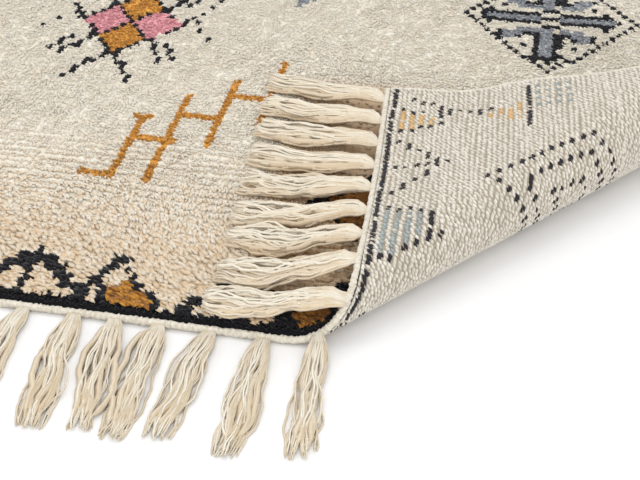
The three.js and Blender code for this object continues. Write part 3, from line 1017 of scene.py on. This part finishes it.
def grain_points(u, v, half_width, half_length, depth, slant):
    """Grains on the woven back, long along the slanted way of a knot's loop."""
    across = np.stack([np.cos(slant), np.sin(slant)], -1)
    along = np.stack([-across[:, 1], across[:, 0]], -1)
    points = np.empty((len(u), len(GRAIN), 3))
    for k, (wide, long, deep) in enumerate(GRAIN):
        points[:, k, :2] = np.stack([u, v], -1) + across * (wide * half_width)[:, None]
        points[:, k, :2] += along * (long * half_length)[:, None]
        points[:, k, 2] = GROUND_LOW + GRAIN_SINK * (1.0 - deep) - deep * depth
    return points.reshape(-1, 3)


def make_back_knots():
    row, column = (a.ravel() for a in np.meshgrid(np.arange(ROWS), np.arange(COLUMNS), indexing="ij"))
    u, v = knot_places(row, column)
    shown = angle_past_fold(u, v) > BACK_FROM_ANGLE
    row, column, u, v = row[shown], column[shown], u[shown], v[shown]
    count = len(u)
    tied = chart[row, column]
    first = row == 0
    grains = []
    for side in (-1, 1):
        loop_u, loop_v = u + side * LOOP_ASIDE, v + side * LOOP_AHEAD
        hidden = rng.uniform(0.0, 1.0, count) < HIDDEN_LOOPS
        grains.append((loop_u, loop_v, np.where(hidden, CREAM, tied)))
        grains.append((loop_u, loop_v + WEFT_AFTER, np.full(count, CREAM)))
        grains.append((loop_u[first], loop_v[first] - WEFT_BEFORE, np.full(first.sum(), CREAM)))
    u, v, yarns = (np.concatenate(part) for part in zip(*grains))
    total = len(u)
    stray = rng.normal(0.0, GRAIN_STRAY, (2, total))
    size = rng.uniform(*GRAIN_SIZES, (2, total)) * np.where(yarns == CREAM, 1.0, FULL_GRAIN)
    depth = rng.uniform(*GRAIN_DEPTHS, total)
    slant = np.radians(rng.normal(GRAIN_SLANT, GRAIN_SLANT_STRAY, total))
    points = grain_points(
        u + stray[0], v + stray[1], GRAIN_HALF_WIDTH * size[0], GRAIN_HALF_LENGTH * size[1], depth, slant,
    )
    points[:, 0] = np.clip(points[:, 0], GRAIN_INSET, RUG_WIDTH - GRAIN_INSET)
    points[:, 1] = np.maximum(points[:, 1], -END_OVERHANG)
    return make_piece(
        "back_knots", place(*points.T),
        repeat_faces(GRAIN_FACES, total, len(GRAIN)), BACK_WOOLS, "rug_body",
        shades={
            "tone": np.repeat(rng.uniform(0.0, 1.0, total), len(GRAIN)),
            "along": np.tile(GRAIN_PAINTED_LIGHT, total),
        },
        yarns=np.repeat(yarns, len(GRAIN_FACES)),
        cells=cell_corners(GRAIN_CELLS, total),
    )


# Tubes

def tube_faces(rings, sides):
    """The faces of one tube of rings, closed at both ends, and their places in its texture cell."""
    faces, cells = ring_faces(rings, sides, 0, np.linspace(0.0, 1.0, rings))
    last = (rings - 1) * sides
    for s in range(1, sides - 1):
        faces += [[0, s + 1, s], [last, last + s, last + s + 1]]
        cells += [[(0.0, 0.0), (0.01, 0.0), (0.0, 0.01)], [(0.0, 1.0), (0.01, 1.0), (0.0, 0.99)]]
    return np.array(faces), np.array(cells)


def tubes(paths, radii, sides):
    """Points of tubes along paths, an array of yarns by stops by three, with a radius for each stop."""
    ahead = unit(np.gradient(paths, axis=1))
    up = np.array([0.0, 0.0, 1.0])
    aside = unit(np.cross(ahead, up))
    over = np.cross(aside, ahead)
    around = 2.0 * np.pi * np.arange(sides) / sides
    circle = np.cos(around)[:, None] * aside[:, :, None, :] - np.sin(around)[:, None] * over[:, :, None, :]
    return paths[:, :, None, :] + radii[:, :, None, None] * circle


# The cords along the ends and the overcast selvedges

CORD_STEP = 1.6
CORD_SIDES = 8
END_CORD = {"radius": CORD_RADIUS, "middle": CORD_RADIUS + 0.4, "wrap": 0.4, "along_v": False}
SELVEDGE = {"radius": 2.0, "middle": 2.2, "wrap": 0.2, "along_v": True}
SELVEDGE_INSET = 1.8
SELVEDGE_STEP = 2.5 * CORD_STEP
# The wraps: their pitch, how they sway along the cord, and their ridge, unevenness and depth for each wrap
WRAP_PITCH = 4.8
WRAP_SWAY = 1.4
WRAP_SWAY_LENGTH = 31.0
WRAP_RIDGE = 0.6
WRAP_STRAY = 0.9
WRAP_DEPTH = 3.0
# The cord's tone: a mean, painted light on the ridges of the wraps and painted shade in the grooves between
# them, and random unevenness
CORD_TONE = 0.65
WRAP_PAINTED_LIGHT = 0.2
TONE_STRAY = 0.22


def make_wrapped_cord(name, line_u, line_v, cord, node):
    """A cord with slanting wraps, through places on the cloth, its round lying across its way. Its wraps are
    painted lighter on their ridges and darker in the grooves between them, as painted light and shade.
    """
    line_u, line_v = (a[:, None] for a in np.broadcast_arrays(line_u, line_v))
    count = len(line_u)
    radius, wrap = cord["radius"], cord["wrap"]
    around = 2.0 * np.pi * np.arange(CORD_SIDES) / CORD_SIDES
    way = np.arange(count)[:, None] * CORD_STEP
    sway = WRAP_SWAY * np.sin(way / WRAP_SWAY_LENGTH)
    ridge = np.sin(2.0 * np.pi * way / WRAP_PITCH + around + sway)
    rough = radius - wrap + WRAP_RIDGE * wrap * ridge + rng.normal(0.0, WRAP_STRAY * wrap, ridge.shape)
    section = np.clip(rough, radius - WRAP_DEPTH * wrap, radius + wrap)
    across = section * np.cos(around)
    rise = cord["middle"] + section * np.sin(around)
    faces, _ = tube_faces(count, CORD_SIDES)
    if cord["along_v"]:
        points = place(line_u + across, line_v, rise)
        faces = faces[:, ::-1]
    else:
        points = place(line_u, line_v + across, rise)
    # Painted light and shade on the wraps' ridges and grooves
    tones = np.clip(CORD_TONE + WRAP_PAINTED_LIGHT * ridge + rng.normal(0.0, TONE_STRAY, ridge.shape), 0.0, 1.0)
    return make_piece(
        name, points.reshape(-1, 3), faces, [CORD_COTTON], node, shades={"tone": tones.ravel()},
    )


def make_cords():
    pieces = []
    for name, start, end, line_v, node in (
        ("cord_front", 0.0, CORD_PART, FRONT_CORD, "fringe_front"),
        ("cord_turned", CORD_PART + CORD_GAP, RUG_WIDTH, FRONT_CORD, "fringe_turned"),
        ("cord_back", 0.0, RUG_WIDTH, BACK_CORD, "fringe_back"),
    ):
        line_u = stops(start, end, CORD_STEP)
        pieces.append(make_wrapped_cord(name, line_u, line_v, END_CORD, node))
    line_v = stops(0.0, RUG_LENGTH, SELVEDGE_STEP)
    for name, line_u in (("selvedge_left", SELVEDGE_INSET), ("selvedge_right", RUG_WIDTH - SELVEDGE_INSET)):
        pieces.append(make_wrapped_cord(name, line_u, line_v, SELVEDGE, "rug_body"))
    return pieces


# The tassels: cotton yarns hitched to the cord, loose and a little wavy

YARN_SIDES = 3
YARN_RADII = (0.85, 1.12)
YARN_END = 0.55  # how thick a yarn is at its end
# A tassel comes out of its cord: shares of the cord's radius on its way, and angles up from straight outward
HITCH = [(0.0, 0.0), (0.5, 10.0), (0.9, 20.0)]
HITCH_SPREAD = 0.9
HITCH_STACK = 1.4
# Its yarns lie round the upper half of its bundle, in half turns, at shares of the way out from its middle
BUNDLE_ROUND = (-0.12, 1.12)
BUNDLE_STRAY = 0.08
BUNDLE_DEPTHS = (0.55, 1.0)
# Painted light: yarns high in the bundle are painted lighter and low ones darker, over a random tone of up to
# YARN_LIGHT
PAINTED_TOP_LIGHT = 0.65
YARN_LIGHT = 0.45
# The first yarns are the thick core, painted darker as shade deep in the bundle
CORE_YARNS = 7
CORE_LAYER = 0.3
CORE_PAINTED_SHADE = 0.5
CORE_END_STOPS = 3
# Yarns of a lock wave together, and each has short waves of its own. The lengths are for a radian of a wave.
LOCKS = 6
LOCK_WAVES = (9.0, 15.0)
YARN_WAVES = (3.2, 5.0)
YARN_WAVE = 0.35
RISING_WAVE = 0.4
BOW_TURN = 2.4
SHORTEST_YARN = 0.8
LEAST_STACK = 0.4
# Shares of a tassel's length where its yarns have left the cord, and from where they are loose
FREE_FROM = 0.07
LOOSE_FROM = 0.4
YARN_REST = 1.15  # how high the middle of a yarn lies, in its radii
ARCH = [(0.0, 0.0), (0.14, 1.0), (0.7, 0.0)]
# Stray yarns loop out to the side, at different places
STRAY_LOOPS = (0.5, 1.0)
STRAY_PLACES = (0.5, 2.0)

# Kinds of tassel. Widths are halves, and they and the stacks are sizes at shares of the tassel's length.
FLOOR_TASSEL = {
    "cotton": COTTON, "darkest": 0.1, "lightest": 0.95, "yarns": 50, "stops": 20, "radius": 1.1,
    "core": 3.4, "core_spread": 0.65, "uneven": 0.06, "stray": 0.12, "fly": 11.0,
    "wave": 2.0, "drift": 1.2, "bow": 2.0, "arch": 2.0, "fall": 6.0,
    "width": [(0.0, 5.5), (0.16, 9.0), (0.5, 8.2), (1.0, 10.5)],
    "stack": [(0.0, 3.0), (0.15, 8.0), (0.6, 6.0), (1.0, 3.5)],
}
PLAIN_TASSEL = FLOOR_TASSEL | {"yarns": 18, "stops": 10, "radius": 1.2}
PILE_TASSEL = {
    "cotton": PILE_SHADE_COTTON, "darkest": 0.3, "lightest": 1.0, "yarns": 68, "stops": 20, "radius": 1.4,
    "core": 3.9, "core_spread": 0.78, "uneven": 0.03, "stray": 0.03, "fly": 6.0,
    "wave": 2.4, "drift": 1.4, "bow": 3.0, "arch": 5.0, "fall": 1.8,
    "width": [(0.0, 6.0), (0.12, 10.5), (0.5, 13.0), (1.0, 14.5)],
    "stack": [(0.0, 4.0), (0.12, 12.0), (0.5, 13.0), (1.0, 11.0)],
}
CURLY_TASSEL = PILE_TASSEL | {"stray": 0.1, "wave": 4.0, "drift": 2.0}
CURLY_TASSELS = 5  # how many of those laid on the pile are curly, counted from the fold
# Lengths against the usual one, and leans in degrees
FLOOR_LENGTHS = (0.97, 1.03)
FLOOR_LEAN = 4.0
PILE_LENGTHS = (0.93, 0.1)  # at the fold, and how much more at the corner
PILE_HEADINGS = (179.5, -13.0)  # the same, in degrees from the +u direction
PILE_LEAN = 1.0
# The front tassels that show best, by their number from the left: how far each is hitched to the right of its
# even place, and its lean in degrees from straight
FRONT_TASSELS = {
    13: (0.0, -3.0), 14: (2.0, 4.0), 15: (-5.0, 6.3), 16: (-9.0, 0.6),
    17: (-7.0, -5.2), 18: (-5.0, -1.0), 19: (2.0, 4.3),
}


def bulge(share, shape):
    """A size along a tassel that goes smoothly through shape, a list of (share of its length, size)."""
    places, sizes = zip(*shape)
    size = np.full(np.shape(share), float(sizes[0]))
    for start, end, low, high in zip(places, places[1:], sizes, sizes[1:]):
        size = size + (high - low) * smoothstep(share, start, end)
    return size


def cord_frame(u, line_v, outwards):
    """The cord's middle at u, and the ways outward from the cloth, up over the cord and along it."""
    root = place(u, line_v, CORD_RADIUS)
    along_cord = unit(place(u + 1.0, line_v, CORD_RADIUS) - root)
    outward = unit(place(u, line_v + outwards, CORD_RADIUS) - root)
    over = np.cross(along_cord, outward)
    over = over * np.sign(over[2])
    return root, outward, over, along_cord


def bundle(kind):
    """How a tassel's yarns lie in its bundle: their ranks across it, their layers up it, and their tones,
    which are random with painted light on the upper yarns and painted shade on the lower yarns and the core.
    """
    count = kind["yarns"]
    around = np.pi * np.linspace(*BUNDLE_ROUND, count) + rng.normal(0.0, BUNDLE_STRAY, count)
    depth = rng.uniform(*BUNDLE_DEPTHS, count)
    rank = depth * np.cos(around)
    layer = np.clip(depth * np.sin(around), 0.0, 1.0)
    rank[:CORE_YARNS] = np.linspace(-kind["core_spread"], kind["core_spread"], CORE_YARNS)
    layer[:CORE_YARNS] = CORE_LAYER
    lightness = PAINTED_TOP_LIGHT * layer + rng.uniform(0.0, YARN_LIGHT, count)
    lightness[:CORE_YARNS] *= CORE_PAINTED_SHADE
    return rank, layer, kind["darkest"] + (kind["lightest"] - kind["darkest"]) * lightness


def hitched(cord, rank, layer, kind):
    """The paths of a tassel's yarns out of its cord."""
    root, outward, over, along_cord = cord
    aside = along_cord * (rank * kind["width"][0][1] * HITCH_SPREAD)[:, None]
    paths = []
    for share, degrees in HITCH:
        angle = math.radians(degrees)
        ring = outward * math.cos(angle) + over * math.sin(angle)
        paths.append(root + ring * (share * (CORD_RADIUS + HITCH_STACK * layer))[:, None] + aside)
    return np.stack(paths, 1)


def tassel_yarns(cord, heading, length, rest, kind):
    """The paths of one tassel's yarns, out of its cord and on to what it lies on, and their tones.

    cord is its frame, heading the way in which the tassel lies, and rest the height of what it lies on.
    """
    root, _, _, along_cord = cord
    rank, layer, tone = bundle(kind)
    count = len(rank)
    lock = np.floor((rank + 1.0) * LOCKS / 2.0).astype(int).clip(0, LOCKS - 1)
    own = length * np.clip(1.0 - np.abs(rng.normal(0.0, kind["uneven"], count)), SHORTEST_YARN, 1.0)
    hitch = hitched(cord, rank, layer, kind)
    ahead = np.array([math.cos(heading), math.sin(heading), 0.0])
    aside = np.array([-ahead[1], ahead[0], 0.0])
    aside = aside * np.sign(aside @ along_cord)

    lock_phase = rng.uniform(0.0, 2.0 * np.pi, (2, LOCKS))[:, lock][..., None]
    lock_length = rng.uniform(*LOCK_WAVES, LOCKS)[lock][:, None]
    lock_drift = rng.normal(0.0, kind["drift"], LOCKS)[lock][:, None]
    yarn_phase = rng.uniform(0.0, 2.0 * np.pi, count)[:, None]
    yarn_length = rng.uniform(*YARN_WAVES, count)[:, None]
    stray = (rng.uniform(0.0, 1.0, count) < kind["stray"])[:, None] * rng.uniform(*STRAY_LOOPS, (count, 1))
    bow = rng.normal(0.0, kind["bow"])

    rank, layer = rank[:, None], layer[:, None]
    share = np.linspace(FREE_FROM, 1.0, kind["stops"])[None, :]
    way = own[:, None] * share
    wave = kind["wave"] * smoothstep(share, 0.0, LOOSE_FROM)
    sideways = rank * bulge(share, kind["width"]) + lock_drift * share
    sideways = sideways + bow * np.sin(BOW_TURN * share) * share
    sideways = sideways + wave * np.sin(way / lock_length + lock_phase[0])
    sideways = sideways + YARN_WAVE * wave * np.sin(way / yarn_length + yarn_phase)
    loop = np.sin(np.pi * share ** rng.uniform(*STRAY_PLACES, (count, 1))) ** 2
    sideways = sideways + kind["fly"] * stray * np.sign(rank) * loop

    fallen = 1.0 - (1.0 - share) ** kind["fall"]
    middle = root[2] + (rest - root[2]) * fallen + kind["arch"] * bulge(share, ARCH)
    rising = RISING_WAVE * wave * (1.0 + np.sin(way / lock_length + lock_phase[1]))
    lift = layer * (bulge(share, kind["stack"]) + rising)
    lowest = np.where(np.arange(count) < CORE_YARNS, kind["core"], YARN_REST * kind["radius"])[:, None]
    height = np.maximum(middle + lift * np.maximum(fallen, LEAST_STACK), rest + lowest)
    free = root[:2] + way[..., None] * ahead[:2] + sideways[..., None] * aside[:2]
    free = np.concatenate([free, height[..., None]], -1)
    return np.concatenate([hitch, free], 1), tone


def make_tassels(name, node, tassels, kind):
    """All the tassels of one stretch of cord as one joined mesh."""
    paths = np.concatenate([paths for paths, _ in tassels])
    tones = np.concatenate([tone for _, tone in tassels])
    count, rings = paths.shape[:2]
    radii = np.full((count, rings), kind["radius"]) * rng.uniform(*YARN_RADII, count)[:, None]
    core = np.arange(count) % kind["yarns"] < CORE_YARNS
    radii[core] = kind["core"]
    near_cord = radii[:, :len(HITCH) + 1]
    near_cord[:] = np.minimum(near_cord, kind["radius"])
    radii[core, -CORE_END_STOPS:] = kind["radius"]
    radii[:, -1] *= YARN_END
    points = tubes(paths, radii, YARN_SIDES).reshape(-1, 3)
    faces, cells = tube_faces(rings, YARN_SIDES)
    each = rings * YARN_SIDES
    return make_piece(
        name, points, repeat_faces(faces, count, each), [kind["cotton"]], node,
        shades={"tone": np.repeat(tones, each)},
        cells=cell_corners(cells, count),
    )


def make_all_tassels():
    plain_front, shown_front, on_pile, on_floor_behind = [], [], [], []
    for index in range(TASSELS):
        u = (index + 0.5) * TASSEL_PITCH
        length = TASSEL_LENGTH * rng.uniform(*FLOOR_LENGTHS)
        shift, lean = FRONT_TASSELS.get(index, (0.0, rng.normal(0.0, FLOOR_LEAN)))
        cord = cord_frame(u + shift, FRONT_CORD, -1.0)
        if index < FLOOR_TASSELS:
            shown = index in FRONT_TASSELS
            tassels, kind = (shown_front, FLOOR_TASSEL) if shown else (plain_front, PLAIN_TASSEL)
            tassels.append(tassel_yarns(cord, math.radians(-90.0 + lean), length, 0.0, kind))
        else:
            share = (index - FLOOR_TASSELS) / (TASSELS - 1 - FLOOR_TASSELS)
            heading = PILE_HEADINGS[0] + PILE_HEADINGS[1] * share + rng.normal(0.0, PILE_LEAN)
            length = TASSEL_LENGTH * (PILE_LENGTHS[0] + PILE_LENGTHS[1] * share)
            kind = CURLY_TASSEL if index < FLOOR_TASSELS + CURLY_TASSELS else PILE_TASSEL
            on_pile.append(tassel_yarns(cord, math.radians(heading), length, PILE_REST, kind))
        lean = rng.normal(0.0, FLOOR_LEAN)
        length = TASSEL_LENGTH * rng.uniform(*FLOOR_LENGTHS)
        cord = cord_frame(u, BACK_CORD, 1.0)
        on_floor_behind.append(tassel_yarns(cord, math.radians(90.0 + lean), length, 0.0, PLAIN_TASSEL))
    return [
        make_tassels("tassels_front_left", "fringe_front", plain_front, PLAIN_TASSEL),
        make_tassels("tassels_front", "fringe_front", shown_front, FLOOR_TASSEL),
        make_tassels("tassels_turned", "fringe_turned", on_pile, PILE_TASSEL),
        make_tassels("tassels_back", "fringe_back", on_floor_behind, PLAIN_TASSEL),
    ]


# The floor, the light and the camera, in metres

FLOOR_HALF = 12.0
WORLD_STRENGTH = 0.95
# Lamps: name, place, what each is aimed at, size and power
LAMPS = [
    ("key", (-0.2, 0.2, 2.4), (0.15, -0.6, 0.0), 1.4, 12.5),
    ("side", (-1.5, -0.9, 0.8), (0.2, -0.65, 0.0), 1.4, 3.5),
    ("fill", (0.9, -2.6, 1.1), (0.3, -0.6, 0.0), 1.6, 10.0),
]
CAMERA_TARGET = (0.1791, -0.7145, 0.0)
CAMERA_DISTANCE = 1.098
CAMERA_DOWN = math.radians(37.2)
CAMERA_LEFT = math.radians(10.9)
CAMERA_LENS = 69.5
CAMERA_SENSOR = 36.0


def make_floor():
    mesh = bpy.data.meshes.new("floor")
    half = FLOOR_HALF
    corners = [(-half, -half, 0.0), (half, -half, 0.0), (half, half, 0.0), (-half, half, 0.0)]
    mesh.from_pydata(corners, [], [(0, 1, 2, 3)])
    mesh.materials.append(floor_material())
    floor = bpy.data.objects.new("floor", mesh)
    bpy.context.scene.collection.objects.link(floor)


def aim(thing, target):
    thing.rotation_euler = (Vector(target) - thing.location).to_track_quat("-Z", "Y").to_euler()


def make_light():
    world = bpy.data.worlds.new("studio")
    world.use_nodes = True
    world.node_tree.nodes["Background"].inputs["Color"].default_value = WHITE
    world.node_tree.nodes["Background"].inputs["Strength"].default_value = WORLD_STRENGTH
    bpy.context.scene.world = world
    for name, location, target, size, power in LAMPS:
        light = bpy.data.lights.new(name, "AREA")
        light.size = size
        light.energy = power
        lamp = bpy.data.objects.new(name, light)
        lamp.location = location
        aim(lamp, target)
        bpy.context.scene.collection.objects.link(lamp)
    bpy.context.scene.view_settings.view_transform = "Standard"


def make_camera():
    data = bpy.data.cameras.new("camera")
    data.lens = CAMERA_LENS
    data.sensor_width = CAMERA_SENSOR
    camera = bpy.data.objects.new("camera", data)
    forward = Vector((
        -math.sin(CAMERA_LEFT) * math.cos(CAMERA_DOWN),
        math.cos(CAMERA_LEFT) * math.cos(CAMERA_DOWN),
        -math.sin(CAMERA_DOWN),
    ))
    camera.location = Vector(CAMERA_TARGET) - forward * CAMERA_DISTANCE
    aim(camera, CAMERA_TARGET)
    bpy.context.scene.collection.objects.link(camera)
    bpy.context.scene.camera = camera


make_camera()
make_light()
make_floor()
ground = make_ground()
others = [make_felt()]
others += [make_pile_band(band) for band in range(ROWS // BAND_ROWS)]
others.append(make_back_knots())
others += make_cords()
others += make_all_tassels()
